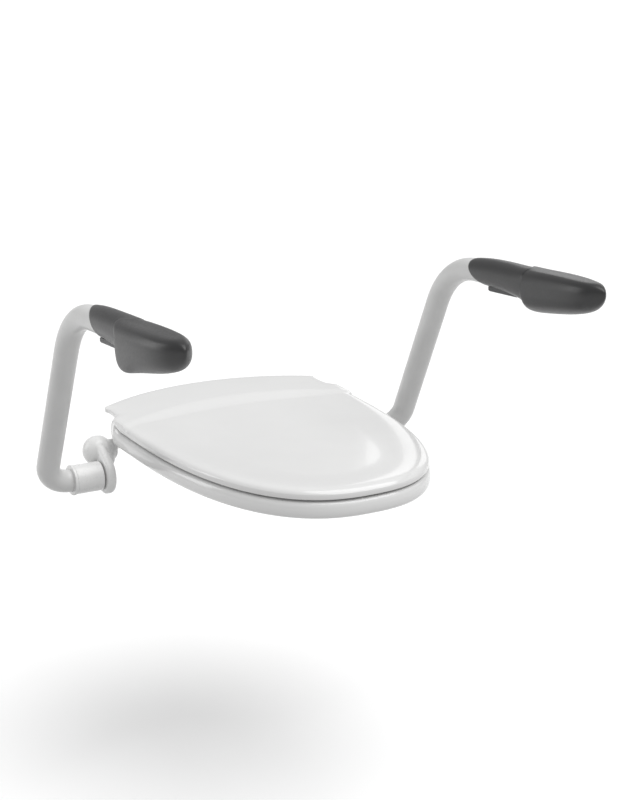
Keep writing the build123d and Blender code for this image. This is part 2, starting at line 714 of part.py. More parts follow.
    with BuildPart() as collar:
        add(
            collar_x(
                side * SLEEVE_OUTER_X,
                side * (SLEEVE_OUTER_X + COLLAR_WIDTH),
                COLLAR_DIAMETER / 2,
                TUBE_DIAMETER / 2 + FIT,
                rounding=COLLAR_ROUND,
            )
        )
    save(collar.part, f"sleeve_collar_{name}")

    with BuildPart() as sleeve_screw:
        inner_y = PIVOT_Y + TUBE_BORE / 2 - 2 + FIT
        outer_y = PIVOT_Y + SLEEVE_DIAMETER / 2 - 0.8
        with Locations((side * SLEEVE_SCREW_X, (inner_y + outer_y) / 2, PIVOT_Z)):
            Cylinder(SLEEVE_SCREW_DIAMETER / 2, outer_y - inner_y, rotation=(90, 0, 0))
        with BuildSketch(Plane.XZ.offset(-outer_y)):
            with Locations((side * SLEEVE_SCREW_X, PIVOT_Z)):
                RegularPolygon(SLEEVE_SCREW_DIAMETER * 0.3, 6)
        extrude(amount=2, mode=Mode.SUBTRACT)
    save(sleeve_screw.part, f"sleeve_screw_{name}")

    with BuildPart() as tube_plug:
        add(rest_bar(side, TUBE_IN_PAD - PLUG_DEPTH, TUBE_IN_PAD, TUBE_BORE / 2 - FIT))
        add(rest_bar(side, TUBE_IN_PAD, TUBE_IN_PAD + PLUG_RIM, TUBE_DIAMETER / 2 - FIT))
    save(tube_plug.part, f"tube_plug_{name}")

    pad_rear = PAD_START - PAD_GRIP_RADIUS * hypot(PAD_SLANT_UP, PAD_SLANT_IN) - 1
    grip_end = PAD_START + PAD_GRIP_LENGTH
    pad_end = PAD_START + PAD_LENGTH
    with BuildPart() as arm_pad:
        round_grip = 2 * PAD_GRIP_RADIUS
        add(pad_section(side, pad_rear, round_grip, round_grip, 0, 0, PAD_GRIP_RADIUS - 0.5))
        add(
            pad_section(
                side, grip_end, PAD_GRIP_END_WIDTH, PAD_GRIP_END_HEIGHT, 0, 0, PAD_GRIP_END_WIDTH / 2 - 1
            )
        )
        loft()
        body = [
            (grip_end - 8, PAD_BODY_WIDTH - 4, PAD_BODY_HEIGHT, PAD_CORNER),
            (pad_end - 90, PAD_BODY_WIDTH, PAD_BODY_HEIGHT - 3, PAD_CORNER),
            (pad_end - 30, PAD_BODY_WIDTH - 3, PAD_BODY_HEIGHT - 12, PAD_CORNER),
            (pad_end - 8, PAD_BODY_WIDTH - 14, PAD_BODY_HEIGHT - 26, PAD_CORNER - 6),
            (pad_end, PAD_BODY_WIDTH - 28, PAD_BODY_HEIGHT - 38, PAD_CORNER - 11),
        ]
        for distance, width, height, corner in body:
            drop = min(PAD_TOP - height / 2, PAD_TOP - PAD_BODY_HEIGHT / 2 + 4)
            add(pad_section(side, distance, width, height, drop, PAD_OUTWARD, corner))
        loft(ruled=True)
        # the rear end is cut off on a slant
        across = rest_plane(side, PAD_START)
        slant = across.z_dir + across.y_dir * PAD_SLANT_UP - across.x_dir * side * PAD_SLANT_IN
        with BuildSketch(Plane(origin=across.origin, x_dir=(0, slant.Z, -slant.Y), z_dir=slant)):
            Rectangle(4 * PAD_BODY_HEIGHT, 4 * PAD_BODY_HEIGHT)
        extrude(amount=-2 * PAD_BODY_HEIGHT, mode=Mode.SUBTRACT)
        add(
            rest_bar(side, pad_rear - 1, TUBE_IN_PAD + PLUG_RIM + FIT, TUBE_DIAMETER / 2 + FIT),
            mode=Mode.SUBTRACT,
        )
        with BuildSketch(rest_plane(side, PAD_START + CLIP_START - FIT)):
            with Locations((0, clip_top - CLIP_DEPTH)):
                Rectangle(CLIP_WIDTH + 2 * FIT, 2 * CLIP_DEPTH + 2 * FIT)
        extrude(amount=CLIP_LENGTH + 2 * FIT, mode=Mode.SUBTRACT)
        add(clip_screw_holes(side), mode=Mode.SUBTRACT)
    save(arm_pad.part, f"arm_pad_{name}")

    with BuildPart() as pad_clip:
        with BuildSketch(rest_plane(side, PAD_START + CLIP_START)):
            with Locations((0, clip_top - CLIP_DEPTH / 2)):
                Rectangle(CLIP_WIDTH, CLIP_DEPTH)
        extrude(amount=CLIP_LENGTH)
        fillet(pad_clip.faces().sort_by(Axis.Z)[0].edges(), radius=CLIP_ROUND)
        for distance in clip_screws_at:
            with BuildSketch(clip_plane(side, distance, clip_top - CLIP_DEPTH)):
                Circle(CLIP_SCREW_HEAD / 2 + FIT)
            extrude(amount=CLIP_SCREW_SINK, mode=Mode.SUBTRACT)
            with BuildSketch(clip_plane(side, distance, clip_top - CLIP_DEPTH)):
                Circle(CLIP_SCREW_DIAMETER / 2 + FIT)
            extrude(amount=CLIP_DEPTH, mode=Mode.SUBTRACT)
    save(pad_clip.part, f"pad_clip_{name}")

    with BuildPart() as clip_screws:
        for distance in clip_screws_at:
            with BuildSketch(clip_plane(side, distance, clip_top - CLIP_DEPTH + CLIP_SCREW_SINK - 3)):
                Circle(CLIP_SCREW_HEAD / 2)
            extrude(amount=3 - FIT)
            with BuildSketch(clip_plane(side, distance, clip_top - CLIP_DEPTH + CLIP_SCREW_SINK - 3)):
                RegularPolygon(CLIP_SCREW_HEAD / 4, 6)
            extrude(amount=2, mode=Mode.SUBTRACT)
            with BuildSketch(clip_plane(side, distance, clip_top - CLIP_DEPTH + CLIP_SCREW_SINK - 1)):
                Circle(CLIP_SCREW_DIAMETER / 2)
            extrude(amount=CLIP_SCREW_REACH)
    save(clip_screws.part, f"clip_screws_{name}")

with BuildPart() as housing_grub_screws:
    for name, side in SIDES:
        grub_top = TONGUE_LIFT - FIT
        with BuildSketch(Plane.XY.offset(grub_top)):
            with Locations((side * GRUB_X, HOUSING_Y)):
                Circle(GRUB_DIAMETER / 2)
        extrude(amount=-GRUB_LENGTH)
        with BuildSketch(Plane.XY.offset(grub_top - GRUB_LENGTH)):
            with Locations((side * GRUB_X, HOUSING_Y)):
                RegularPolygon(GRUB_DIAMETER * 0.28, 6)
        extrude(amount=GRUB_LENGTH / 3, mode=Mode.SUBTRACT)
save(housing_grub_screws.part, "housing_grub_screws")
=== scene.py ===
"""Looks of the toilet seat with arm supports: mouldings, hinge arms, arm pads, castings and studio."""
import json
import math

import bmesh
import bpy
import numpy as np
from mathutils import Matrix, Vector


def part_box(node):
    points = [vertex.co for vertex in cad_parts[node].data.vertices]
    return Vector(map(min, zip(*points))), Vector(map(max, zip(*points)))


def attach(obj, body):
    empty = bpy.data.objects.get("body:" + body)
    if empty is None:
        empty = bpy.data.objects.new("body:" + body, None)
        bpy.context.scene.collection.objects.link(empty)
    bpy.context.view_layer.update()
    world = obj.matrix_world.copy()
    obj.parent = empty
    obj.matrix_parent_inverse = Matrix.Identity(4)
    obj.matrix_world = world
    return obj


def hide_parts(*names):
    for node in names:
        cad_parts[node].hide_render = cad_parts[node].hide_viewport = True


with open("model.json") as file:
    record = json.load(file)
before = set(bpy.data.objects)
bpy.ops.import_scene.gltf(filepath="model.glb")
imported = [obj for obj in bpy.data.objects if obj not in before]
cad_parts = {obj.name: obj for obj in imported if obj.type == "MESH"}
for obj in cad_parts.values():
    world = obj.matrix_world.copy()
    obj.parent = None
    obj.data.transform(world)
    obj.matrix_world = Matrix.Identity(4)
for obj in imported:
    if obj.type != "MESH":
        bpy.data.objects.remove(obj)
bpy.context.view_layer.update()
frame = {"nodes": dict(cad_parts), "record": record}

MM = 0.001
SIDES = (("left", -1), ("right", 1))

# ---- sizes of the front, which the lid and the seat share ---------------------------------
WIDEST_Y = -37 * MM            # where the curved front ends and the straight side begins
NOSE_POWER = 2.93              # roundness of the front along Y
SIDE_POWER = 2.44              # roundness of the front along X
FRONT_FINE = 400               # points on the curve of the front before they are spaced evenly
FRONT_POINTS = 96

# ---- sizes of the lid ---------------------------------------------------------------------
lid_low, lid_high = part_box("lid_shell")
LID_HALF = lid_high.x
LID_NOSE_Y = lid_low.y
LID_REAR_Y = lid_high.y
LID_BASE = 39.5 * MM           # lower edge of the lid, a narrow gap above the seat
LID_CENTRE = np.array((0.0, -190 * MM))
NOTCH_DEPTH = 11.5 * MM
NOTCH_Y = -14 * MM
NOTCH_PULLS = (24 * MM, 26 * MM)   # tangents of the side, from the front to the notch
WING_INSET = 9 * MM
WING_REAR_Y = 24 * MM
WING_ROUND = 8 * MM
WING_HOLD = 0.56               # how closely the rounded tip of a wing follows its corner
WING_LEAN = math.radians(19)   # outward lean of the side where it reaches the wing
WING_PULLS = (30 * MM, 28 * MM)    # tangents of the side, from the notch to the wing
LID_WALL = 4.4 * MM
LID_CROWN = 52.4 * MM          # height of the rim that frames the front panel
RIM_DROP = 6.4 * MM            # how far the soft rim falls to the edge of the lid
RIM_SOFTNESS = 3.8 * MM
DISH_DEPTH = 2.2 * MM
DISH_REACH = (9 * MM, 70 * MM)  # the panel sinks between these distances from the edge
BAND_CROWN = 55.6 * MM         # height of the raised band at the rear
BAND_RIM_DROP = 3 * MM
BAND_SIDE_FALL = 1 * MM
BAND_REAR_FALL = 1.6 * MM
CREASE_Y = -48 * MM            # where the panel begins to climb to the band
CREASE_SAG = 22 * MM
CREASE_SPAN = 150 * MM
RAMP_WIDTH = 30 * MM
RAMP_NARROWING = 0.72          # how much shorter the climb is at the sides
RAMP_STRAIGHT = 0.55           # share of the climb that is a plain slope
SKIRT_RISE_REACH = (-62 * MM, -26 * MM)  # along Y, where the edge of the lid climbs over the ears
SKIRT_RISE = 6 * MM
LID_EDGE = ((1.6, 0.0), (0.7, 0.15), (0.15, 0.7), (0.0, 1.6))  # inset and rise, in millimetres
LID_FLANK_INSET = 0.4 * MM     # the height of the edge is taken this far in
LID_FLANK_SHARE = 0.7          # the upright flank ends at this share of the height of the edge
LID_RIM_INSETS = (0.12, 0.45, 0.95, 1.6, 2.4, 3.4, 4.6, 6.0)   # in millimetres
LID_INNER_WALL = (             # inset, and share of the height up to the ceiling
    (LID_WALL - 1.4 * MM, 0.0), (LID_WALL, 0.06), (LID_WALL + 0.5 * MM, 0.6),
    (LID_WALL + 1.2 * MM, 0.86), (6.8 * MM, 0.97), (8.0 * MM, 1.0),
)
UPPER_RINGS = 66               # steps from the rim of the lid to its centre
CEILING_RINGS = 34

# ---- sizes of the seat --------------------------------------------------------------------
seat_low, seat_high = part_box("seat_ring")
SEAT_HALF = seat_high.x
SEAT_NOSE_Y = seat_low.y
SEAT_BASE = seat_low.z
SEAT_TOP = 37 * MM
SIDE_PULL = 22 * MM            # length of the tangents of the straight side
EAR_RISE = 7.6 * MM
EAR_ROUND = 12 * MM
EAR_INSET = 8 * MM
EAR_REAR_Y = 0.0
EAR_STEP_REACH = (134 * MM, 154 * MM)    # along X, where the rear edge steps back to an ear
EAR_RISE_REACH = (134 * MM, 156 * MM)    # along X, where the upper face climbs to an ear
BAR_REAR_Y = -24 * MM
OPENING_HALF = (112 * MM, 150 * MM)
OPENING_Y = -235 * MM
LEAD_SMOOTHING = 40            # evens out the points round the opening
# Edges of the seat: inset from the outline or the opening in millimetres, and share of the height.
OUTER_EDGE = (
    (7.0, 0.0), (4.6, 0.01), (2.6, 0.055), (1.2, 0.13), (0.3, 0.24), (0.0, 0.36), (0.0, 0.5),
    (0.25, 0.62), (0.9, 0.74), (2.0, 0.845), (3.6, 0.93), (5.8, 0.982), (8.6, 1.0),
)
INNER_EDGE = (
    (15.0, 1.0), (11.0, 0.975), (7.4, 0.92), (4.4, 0.82), (2.2, 0.69), (0.8, 0.54), (0.0, 0.38),
    (0.1, 0.24), (0.9, 0.12), (2.4, 0.04), (4.5, 0.0),
)
TOP_RINGS = 16                 # steps across the upper face of the seat
BOTTOM_RINGS = 7

# ---- sizes of the hinge arms --------------------------------------------------------------
HINGE = (40 * MM, 40 * MM)     # the hinge axis, as Y and Z
KNUCKLE_RADIUS = 7.5 * MM
BORE_RADIUS = 5.57 * MM
ARM_WIDTH = 12 * MM
ARM_EDGE = 0.8 * MM
SEAT_ARM_X = 110.5 * MM
LID_ARM_X = 82 * MM


# ---- curves -------------------------------------------------------------------------------
def smooth_step(low, high, value):
    share = np.clip((value - low) / (high - low), 0.0, 1.0)
    return share * share * (3 - 2 * share)


def resample(line, count):
    """The same line with points evenly spaced along it."""
    step = np.hypot(*np.diff(line, axis=0).T)
    along = np.concatenate(([0], np.cumsum(step)))
    at = np.linspace(0, along[-1], count)
    return np.column_stack([np.interp(at, along, line[:, k]) for k in (0, 1)])


def front_curve(half_width, nose_y):
    """The rounded front, from the nose to where the straight side begins."""
    turn = np.linspace(math.pi / 2, 0, FRONT_FINE)
    x = half_width * np.maximum(np.cos(turn), 0) ** (2 / SIDE_POWER)
    y = WIDEST_Y - (WIDEST_Y - nose_y) * np.sin(turn) ** (2 / NOSE_POWER)
    fine = np.column_stack((x, y))
    fine[0] = (0, nose_y)
    return resample(fine, FRONT_POINTS)


def hermite(p0, p1, t0, t1, count):
    """A smooth curve between two points with the given end tangents."""
    s = np.linspace(0, 1, count)[:, None]
    return (
        (2 * s ** 3 - 3 * s ** 2 + 1) * np.array(p0) + (s ** 3 - 2 * s ** 2 + s) * np.array(t0)
        + (3 * s ** 2 - 2 * s ** 3) * np.array(p1) + (s ** 3 - s ** 2) * np.array(t1)
    )


def rounded_corner(start, corner, end, hold, count):
    """A curve between two points that is drawn towards the corner between them."""
    s = np.linspace(0, 1, count)[:, None]
    first = start + (corner - start) * hold
    second = end + (corner - end) * hold
    return (
        (1 - s) ** 3 * start + 3 * (1 - s) ** 2 * s * first
        + 3 * (1 - s) * s ** 2 * second + s ** 3 * end
    )


def arc(centre, radius, start, end, count):
    turn = np.radians(np.linspace(start, end, count))
    return [(centre[0] + radius * math.cos(t), centre[1] + radius * math.sin(t)) for t in turn]


def close_outline(right_half):
    """A closed outline from its right half, which runs from the nose to the rear centre."""
    right_half[[0, -1], 0] = 0
    left = right_half[-2:0:-1] * (-1, 1)
    return np.vstack((right_half, left))


def inward_normals(outline):
    """Unit normals of a closed outline that runs anticlockwise, pointing to its inside."""
    run = np.roll(outline, -1, axis=0) - np.roll(outline, 1, axis=0)
    run /= np.linalg.norm(run, axis=1)[:, None]
    return np.column_stack((-run[:, 1], run[:, 0]))


def edge_distance(points, outline):
    """Distance from each point to the nearest stretch of a closed outline."""
    run = np.roll(outline, -1, axis=0) - outline
    length = (run ** 2).sum(1)
    best = np.full(len(points), np.inf)
    for start, step, square in zip(outline, run, length):
        share = np.clip(((points - start) @ step) / square, 0, 1)
        gap = np.hypot(*(points - start - share[:, None] * step).T)
        best = np.minimum(best, gap)
    return best


# ---- mesh helpers -------------------------------------------------------------------------
def add_object(name, data):
    added = bpy.data.objects.new(name, data)
    bpy.context.scene.collection.objects.link(added)
    return added


def finish_mesh(mesh, material, sharp=180):
    """Smooth shading, sharp only across edges above the angle in degrees, and one material."""
    mesh.polygons.foreach_set("use_smooth", [True] * len(mesh.polygons))
    mesh.set_sharp_from_angle(angle=math.radians(sharp))
    mesh.materials.clear()
    mesh.materials.append(MATERIALS[material])


def make_piece(name, points, faces, material, sharp):
    mesh = bpy.data.meshes.new(name)
    mesh.from_pydata([tuple(map(float, p)) for p in points], [], faces)
    mesh.update()
    finish_mesh(mesh, material, sharp)
    return add_object(name, mesh)


def bridge_faces(first, second, around):
    """Quads between two rings of points, given where each ring begins in the list."""
    pairs = [(i, (i + 1) % around) for i in range(around)]
    return [(first + i, first + j, second + j, second + i) for i, j in pairs]


def strip_faces(ring_count, around, first=0):
    """Quads between rings of points that follow each other in the list."""
    faces = []
    for ring in range(ring_count - 1):
        start = first + ring * around
        faces += bridge_faces(start, start + around, around)
    return faces


def fan_faces(ring, around, tip):
    """Triangles between a ring of points and one point."""
    return [(ring + i, ring + (i + 1) % around, tip) for i in range(around)]


def flipped(faces):
    return [tuple(reversed(face)) for face in faces]


# ---- materials ----------------------------------------------------------------------------
NOISE_REACH = (0.3, 0.7)       # stretch of a noise over which the roughness changes
BLEND_REACH = (0.35, 0.65)     # the same for the colour
PATCH_LIGHTER = 1.06           # how much lighter the light patches of the small parts are


def new_material(name, colour, roughness, **settings):
    material = bpy.data.materials.new(name)
    material.use_nodes = True
    shader = material.node_tree.nodes["Principled BSDF"]
    shader.inputs["Base Color"].default_value = (*colour, 1)
    shader.inputs["Roughness"].default_value = roughness
    for socket, value in settings.items():
        shader.inputs[socket.replace("_", " ")].default_value = value
    return material, shader


def add_noise(material, scale, detail, roughness=0.5, stretch=(1, 1, 1)):
    """A noise texture in the row frame, so that its grain keeps its real size."""
    nodes, links = material.node_tree.nodes, material.node_tree.links
    place = nodes.new("ShaderNodeTexCoord")
    mapping = nodes.new("ShaderNodeMapping")
    mapping.inputs["Scale"].default_value = stretch
    noise = nodes.new("ShaderNodeTexNoise")
    noise.inputs["Scale"].default_value = scale
    noise.inputs["Detail"].default_value = detail
    noise.inputs["Roughness"].default_value = roughness
    links.new(place.outputs["Object"], mapping.inputs["Vector"])
    links.new(mapping.outputs["Vector"], noise.inputs["Vector"])
    return noise


def vary_roughness(material, shader, noise, low, high):
    nodes, links = material.node_tree.nodes, material.node_tree.links
    span = nodes.new("ShaderNodeMapRange")
    span.inputs["From Min"].default_value, span.inputs["From Max"].default_value = NOISE_REACH
    span.inputs["To Min"].default_value = low
    span.inputs["To Max"].default_value = high
    links.new(noise.outputs["Fac"], span.inputs["Value"])
    links.new(span.outputs["Result"], shader.inputs["Roughness"])


def vary_colour(material, shader, noise, one, other):
    nodes, links = material.node_tree.nodes, material.node_tree.links
    ramp = nodes.new("ShaderNodeValToRGB")
    for stop, place, colour in zip(ramp.color_ramp.elements, BLEND_REACH, (one, other)):
        stop.position = place
        stop.color = (*colour, 1)
    links.new(noise.outputs["Fac"], ramp.inputs["Fac"])
    links.new(ramp.outputs["Color"], shader.inputs["Base Color"])


def add_bump(material, shader, height, strength, distance, chain=None):
    nodes, links = material.node_tree.nodes, material.node_tree.links
    bump = nodes.new("ShaderNodeBump")
    bump.inputs["Strength"].default_value = strength
    bump.inputs["Distance"].default_value = distance
    links.new(height, bump.inputs["Height"])
    if chain is not None:
        links.new(chain.outputs["Normal"], bump.inputs["Normal"])
    links.new(bump.outputs["Normal"], shader.inputs["Normal"])
    return bump


def gloss_white():
    """Thick white moulded plastic of seat and lid, with a hard gloss and the faintest ripple."""
    material, shader = new_material(
        "seat_white", (0.74, 0.74, 0.737), 0.12, Coat_Weight=0.4, Coat_Roughness=0.04, IOR=1.5
    )
    vary_colour(material, shader, add_noise(material, 9, 3), (0.73, 0.73, 0.727), (0.75, 0.75, 0.747))
    vary_roughness(material, shader, add_noise(material, 55, 4), 0.1, 0.17)
    ripple = add_noise(material, 70, 1.0)
    add_bump(material, shader, ripple.outputs["Fac"], 0.05, 0.0004)
    return material


def satin_white():
    """White satin of the pivot castings and sleeves."""
    material, shader = new_material(
        "fitting_white", (0.74, 0.74, 0.736), 0.3, Coat_Weight=0.15, Coat_Roughness=0.15
    )
    vary_colour(material, shader, add_noise(material, 30, 3), (0.725, 0.725, 0.721), (0.755, 0.755, 0.751))
    vary_roughness(material, shader, add_noise(material, 160, 3), 0.24, 0.36)
    grain = add_noise(material, 1400, 2.0)
    add_bump(material, shader, grain.outputs["Fac"], 0.06, 0.0001)
    return material


def powder_coat():
    """Light powder coat on the steel tube: fine orange peel and a soft sheen."""
    material, shader = new_material(
        "powder_coat", (0.62, 0.62, 0.616), 0.36, Coat_Weight=0.2, Coat_Roughness=0.2
    )
    vary_colour(material, shader, add_noise(material, 25, 3), (0.605, 0.605, 0.601), (0.635, 0.635, 0.631))
    vary_roughness(material, shader, add_noise(material, 220, 3), 0.3, 0.42)
    peel = add_noise(material, 700, 1.5)
    fine = add_noise(material, 2600, 1.0)
    first = add_bump(material, shader, peel.outputs["Fac"], 0.16, 0.0002)
    add_bump(material, shader, fine.outputs["Fac"], 0.06, 0.00008, first)
    return material


def skin_foam():
    """Dark grey integral-skin foam: fine leather grain and a satin sheen."""
    material, shader = new_material("pad_foam", (0.05, 0.05, 0.052), 0.42, IOR=1.48)
    vary_colour(material, shader, add_noise(material, 40, 4), (0.023, 0.023, 0.024), (0.026, 0.026, 0.027))
    vary_roughness(material, shader, add_noise(material, 300, 3), 0.31, 0.39)
    nodes, links = material.node_tree.nodes, material.node_tree.links
    place = nodes.new("ShaderNodeTexCoord")
    cells = nodes.new("ShaderNodeTexVoronoi")
    cells.feature = "SMOOTH_F1"
    cells.inputs["Scale"].default_value = 900
    links.new(place.outputs["Object"], cells.inputs["Vector"])
    first = add_bump(material, shader, cells.outputs["Distance"], 0.12, 0.00015)
    pores = add_noise(material, 2200, 2.0)
    add_bump(material, shader, pores.outputs["Fac"], 0.08, 0.0001, first)
    return material


def plain_plastic(name, colour, low, high):
    """Satin plastic or rubber of the small parts: fine grain and slightly uneven tone."""
    material, shader = new_material(name, colour, (low + high) / 2)
    lighter = tuple(c * PATCH_LIGHTER for c in colour)
    vary_colour(material, shader, add_noise(material, 45, 3), colour, lighter)
    vary_roughness(material, shader, add_noise(material, 300, 3), low, high)
    grain = add_noise(material, 1800, 2.0)
    add_bump(material, shader, grain.outputs["Fac"], 0.1, 0.0001)
    return material


def brushed_steel():
    """Steel of the rods, pins and plates, with a drawn grain along X."""
    material, shader = new_material("steel", (0.62, 0.61, 0.6), 0.28, Metallic=1.0)
    lines = add_noise(material, 260, 5, 0.7, (1, 14, 14))
    vary_roughness(material, shader, lines, 0.2, 0.42)
    vary_colour(material, shader, add_noise(material, 60, 3), (0.58, 0.575, 0.565), (0.66, 0.65, 0.64))
    add_bump(material, shader, lines.outputs["Fac"], 0.08, 0.00005)
    return material


MATERIALS = {
    "seat_white": gloss_white(),
    "fitting_white": satin_white(),
    "powder_coat": powder_coat(),
    "pad_foam": skin_foam(),
    "clip_plastic": plain_plastic("clip_plastic", (0.035, 0.035, 0.037), 0.35, 0.5),
    "nylon": plain_plastic("nylon", (0.62, 0.61, 0.57), 0.38, 0.52),
    "buffer_rubber": plain_plastic("buffer_rubber", (0.36, 0.36, 0.37), 0.5, 0.7),
    "steel": brushed_steel(),
}

for row in frame["record"]["subparts"]:
    mesh = frame["nodes"][row["node"]].data
    mesh.materials.clear()
    mesh.materials.append(MATERIALS[row["material_slot"]])

# ---- lid ----------------------------------------------------------------------------------
def lid_outline():
    """Rounded front, a side drawn in to a notch, a rounded wing tip and a bowed rear edge."""
    wing = np.array((LID_HALF - WING_INSET, WING_REAR_Y))
    notch = np.array((LID_HALF - NOTCH_DEPTH, NOTCH_Y))
    rise = LID_REAR_Y - WING_REAR_Y
    radius = (wing[0] ** 2 + rise ** 2) / (2 * rise)
    end_angle = math.asin(wing[0] / radius)
    heading_in = np.array((math.sin(WING_LEAN), math.cos(WING_LEAN)))
    heading_out = np.array((-math.cos(end_angle), math.sin(end_angle)))
    turn = math.acos(float(heading_in @ heading_out))
    reach = WING_ROUND * math.tan(turn / 2)
    tip_in = wing - heading_in * reach
    tip_out = wing + heading_out * reach
    front = front_curve(LID_HALF, LID_NOSE_Y)
    to_notch = hermite(front[-1], notch, (0, NOTCH_PULLS[0]), (0, NOTCH_PULLS[1]), 9)
    to_wing = hermite(notch, tip_in, (0, WING_PULLS[0]), heading_in * WING_PULLS[1], 10)
    tip = rounded_corner(tip_in, wing, tip_out, WING_HOLD, 14)
    sweep = np.linspace(math.asin(tip_out[0] / radius), 0, 36)
    rear = np.column_stack((radius * np.sin(sweep), LID_REAR_Y - radius + radius * np.cos(sweep)))
    return close_outline(np.vstack((front, to_notch[1:], to_wing[1:], tip[1:], rear[1:])))


def lid_top(points, distance):
    """Height of the upper face of the lid at points a distance inside its outline."""
    x, y = points[:, 0], points[:, 1]
    across = np.abs(x) / (LID_HALF - WING_INSET)
    panel = LID_CROWN - DISH_DEPTH * smooth_step(*DISH_REACH, distance)
    behind = np.clip(y - CREASE_Y - RAMP_WIDTH, 0, None) / (LID_REAR_Y - CREASE_Y - RAMP_WIDTH)
    band = BAND_CROWN - BAND_SIDE_FALL * across ** 2 - BAND_REAR_FALL * behind ** 2
    crease = CREASE_Y - CREASE_SAG * (x / CREASE_SPAN) ** 2
    width = RAMP_WIDTH * (1 - RAMP_NARROWING * np.clip(across, 0, 1) ** 2)
    share = np.clip((y - crease) / width, 0, 1)
    eased = RAMP_STRAIGHT * share + (1 - RAMP_STRAIGHT) * smooth_step(0, 1, share)
    top = panel + (band - panel) * eased
    drop = RIM_DROP + (BAND_RIM_DROP - RIM_DROP) * eased
    return top - drop * np.exp(-distance / RIM_SOFTNESS)


def skirt_low(y):
    """Height of the lower edge of the lid along its outline."""
    return LID_BASE + SKIRT_RISE * smooth_step(*SKIRT_RISE_REACH, y)


def rings_to_centre(rim, outline, count, depth):
    """Rings that shrink from a rim to near the centre of the lid, a depth below its upper face."""
    rings = []
    for share in np.linspace(0, 1, count)[1:-1]:
        flat = LID_CENTRE + (rim - LID_CENTRE) * (1 - share)
        heights = lid_top(flat, edge_distance(flat, outline)) - depth
        rings.append(np.column_stack((flat, heights)))
    return rings


def lid_upper_rings(outline, normals, low):
    """Rings from the lower edge of the lid up its flank, over the rim and across the panel."""
    rings = [np.column_stack((outline + normals * inset * MM, low + rise * MM)) for inset, rise in LID_EDGE]
    flank_top = lid_top(outline + normals * LID_FLANK_INSET, 0.0)
    rings.append(np.column_stack((outline, low + (flank_top - low) * LID_FLANK_SHARE)))
    for inset in LID_RIM_INSETS:
        inside = outline + normals * inset * MM
        rings.append(np.column_stack((inside, lid_top(inside, inset * MM))))
    return rings + rings_to_centre(rings[-1][:, :2], outline, UPPER_RINGS, 0.0)


def lid_under_rings(outline, normals, low):
    """Rings up the inner wall of the lid and across its hollow ceiling."""
    ceiling_inset = LID_INNER_WALL[-1][0]
    rim = outline + normals * ceiling_inset
    ceiling = lid_top(rim, ceiling_inset) - LID_WALL
    rings = [
        np.column_stack((outline + normals * inset, low + (ceiling - low) * share))
        for inset, share in LID_INNER_WALL
    ]
    return rings + rings_to_centre(rim, outline, CEILING_RINGS, LID_WALL)


def build_lid():
    outline = lid_outline()
    normals = inward_normals(outline)
    around = len(outline)
    low = skirt_low(outline[:, 1])
    upper = lid_upper_rings(outline, normals, low)
    under = lid_under_rings(outline, normals, low)
    centre = LID_CENTRE[None, :]
    height = lid_top(centre, edge_distance(centre, outline))
    upper_tip = np.column_stack((centre, height))
    under_tip = np.column_stack((centre, height - LID_WALL))
    points = np.vstack((*upper, upper_tip, *under, under_tip))
    upper_tip_at = len(upper) * around
    under_start = upper_tip_at + 1
    under_tip_at = len(points) - 1
    faces = strip_faces(len(upper), around)
    faces += fan_faces(upper_tip_at - around, around, upper_tip_at)
    faces += flipped(strip_faces(len(under), around, under_start))
    faces += flipped(fan_faces(under_tip_at - around, around, under_tip_at))
    faces += bridge_faces(under_start, 0, around)
    return make_piece("lid_moulding", points, faces, "seat_white", sharp=50)


lid = build_lid()
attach(lid, "lid")
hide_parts("lid_shell")


# ---- seat ---------------------------------------------------------------------------------
def seat_outline():
    """Rounded front, straight sides, and a rear edge that steps in between two rounded ears."""
    front = front_curve(SEAT_HALF, SEAT_NOSE_Y)
    turn = np.linspace(0, math.pi / 2, 12)
    corner = np.column_stack((
        SEAT_HALF - EAR_INSET - EAR_ROUND + EAR_ROUND * np.cos(turn),
        EAR_REAR_Y - EAR_ROUND + EAR_ROUND * np.sin(turn),
    ))
    side = hermite(front[-1], corner[0], (0, SIDE_PULL), (0, SIDE_PULL), 9)[1:-1]
    x = np.linspace(corner[-1][0], 0, 48)[1:]
    y = BAR_REAR_Y + (EAR_REAR_Y - BAR_REAR_Y) * smooth_step(*EAR_STEP_REACH, x)
    return close_outline(np.vstack((front, side, corner, np.column_stack((x, y)))))


def seat_top(points):
    """Height of the upper face: flat, and raised at the two rear ears."""
    ear = smooth_step(*SKIRT_RISE_REACH, points[:, 1])
    ear = ear * smooth_step(*EAR_RISE_REACH, np.abs(points[:, 0]))
    return SEAT_TOP + EAR_RISE * ear


def seat_opening(outline):
    """Points round the oval opening, one for each point of the outline, and its outward normals."""
    half_x, half_y = OPENING_HALF
    angle = np.arctan2((outline[:, 1] - OPENING_Y) / half_y, outline[:, 0] / half_x)
    steps = np.linspace(0, 2 * math.pi, len(outline), endpoint=False)
    lead = np.unwrap(angle) - steps
    for _ in range(LEAD_SMOOTHING):
        lead = (np.roll(lead, 1) + 2 * lead + np.roll(lead, -1)) / 4
    angle = steps + lead
    ellipse = np.column_stack((half_x * np.cos(angle), OPENING_Y + half_y * np.sin(angle)))
    outwards = np.column_stack((np.cos(angle) / half_x, np.sin(angle) / half_y))
    return ellipse, outwards / np.linalg.norm(outwards, axis=1)[:, None]


